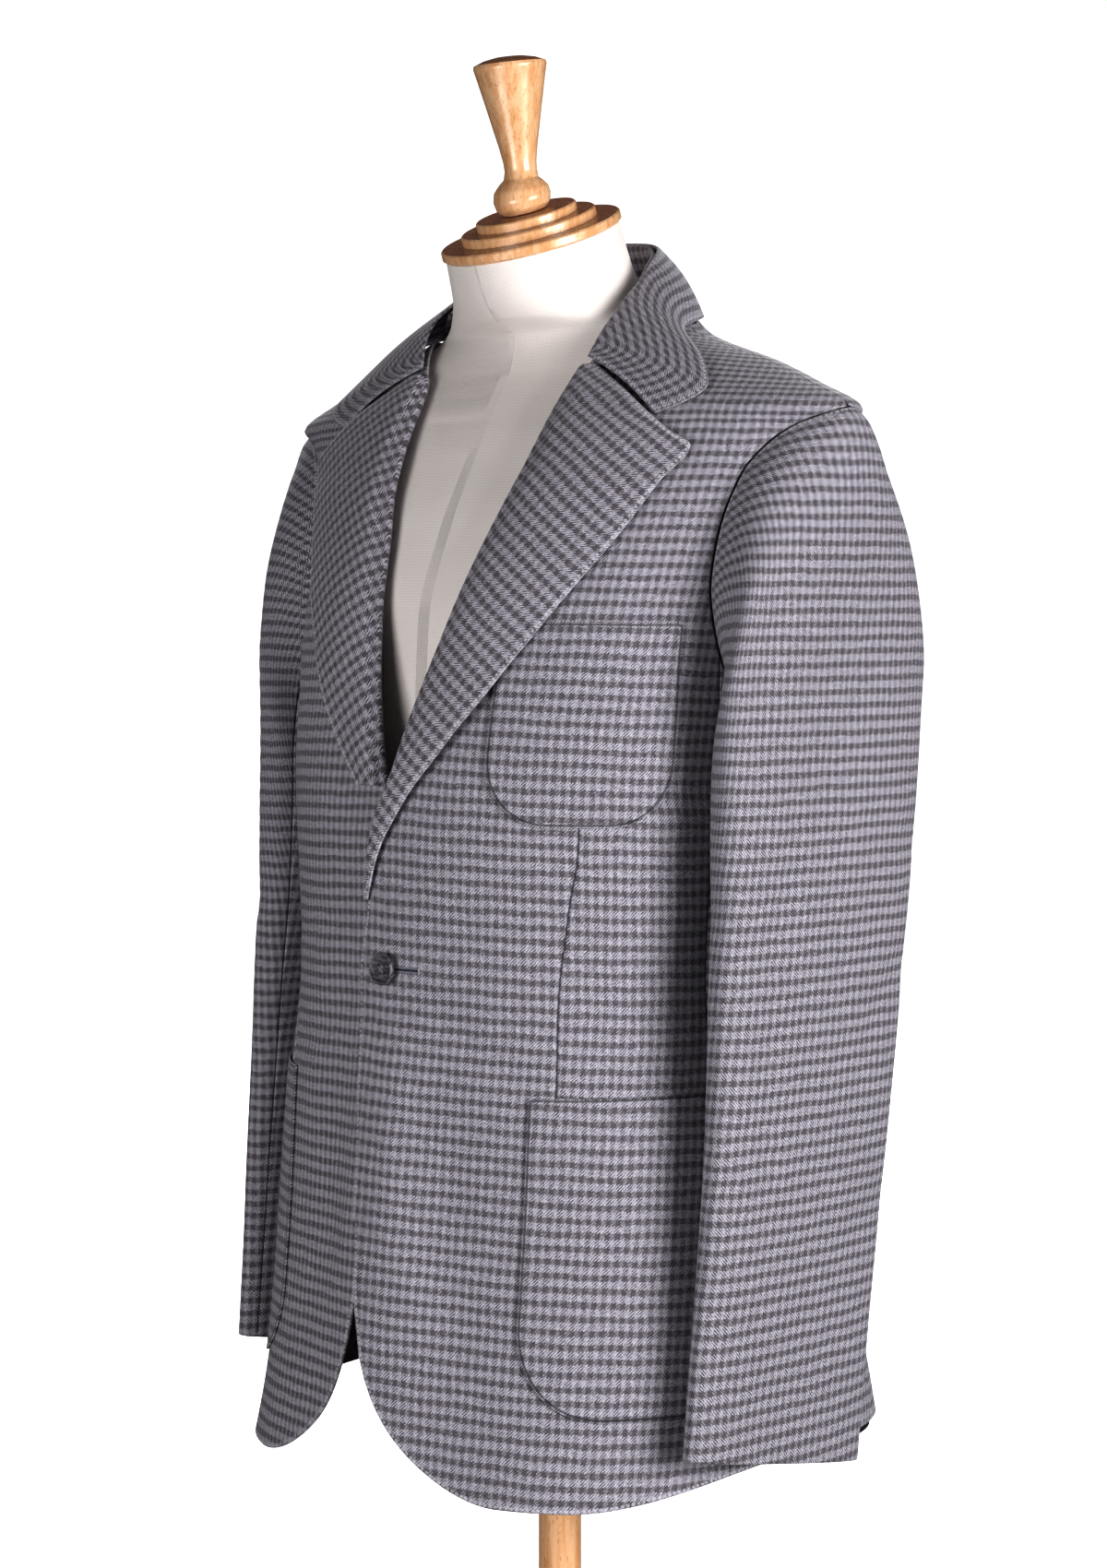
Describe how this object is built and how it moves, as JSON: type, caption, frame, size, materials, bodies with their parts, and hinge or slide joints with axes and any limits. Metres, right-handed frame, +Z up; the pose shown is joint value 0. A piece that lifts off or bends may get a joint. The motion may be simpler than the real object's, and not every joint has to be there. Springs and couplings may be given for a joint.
{
  "type": "sports jacket on a limbless dress form with a pole stand",
  "caption": "Grey small-check wool twill sports jacket with notch lapels and patch pockets, worn by a limbless linen dress form on a turned wooden stand.",
  "frame": {"origin": "centre of the stand's foot, on the surface it rests on", "axes": "+Z up the stand's pole, -Y where the jacket faces, +X towards the wearer's left"},
  "size_m": [0.4808, 0.3707, 1.0564],
  "materials": {
    "checked_twill": "grey small-check wool twill, matt",
    "lining": "dark navy figured lining, soft sheen",
    "horn_button": "dark grey horn, satin",
    "button_thread": "grey thread",
    "linen_cover": "off-white linen, plain weave",
    "turned_wood": "varnished beech, end grain darker"
  },
  "bodies": {
    "root": {"left_front": "checked_twill", "right_front": "checked_twill", "left_side": "checked_twill", "right_side": "checked_twill", "left_back": "checked_twill", "right_back": "checked_twill", "left_top_sleeve": "checked_twill", "left_under_sleeve": "checked_twill", "right_top_sleeve": "checked_twill", "right_under_sleeve": "checked_twill", "left_lapel": "checked_twill", "right_lapel": "checked_twill", "collar_fall": "checked_twill", "collar_stand": "checked_twill", "left_hip_pocket": "checked_twill", "right_hip_pocket": "checked_twill", "left_chest_pocket": "checked_twill", "back_lining": "lining", "front_button": "horn_button", "button_shank": "button_thread", "form_torso": "linen_cover", "neck_cap": "turned_wood", "neck_finial": "turned_wood", "form_plate": "turned_wood", "stand_pole": "turned_wood", "stand_base": "turned_wood"}
  },
  "joints": []
}
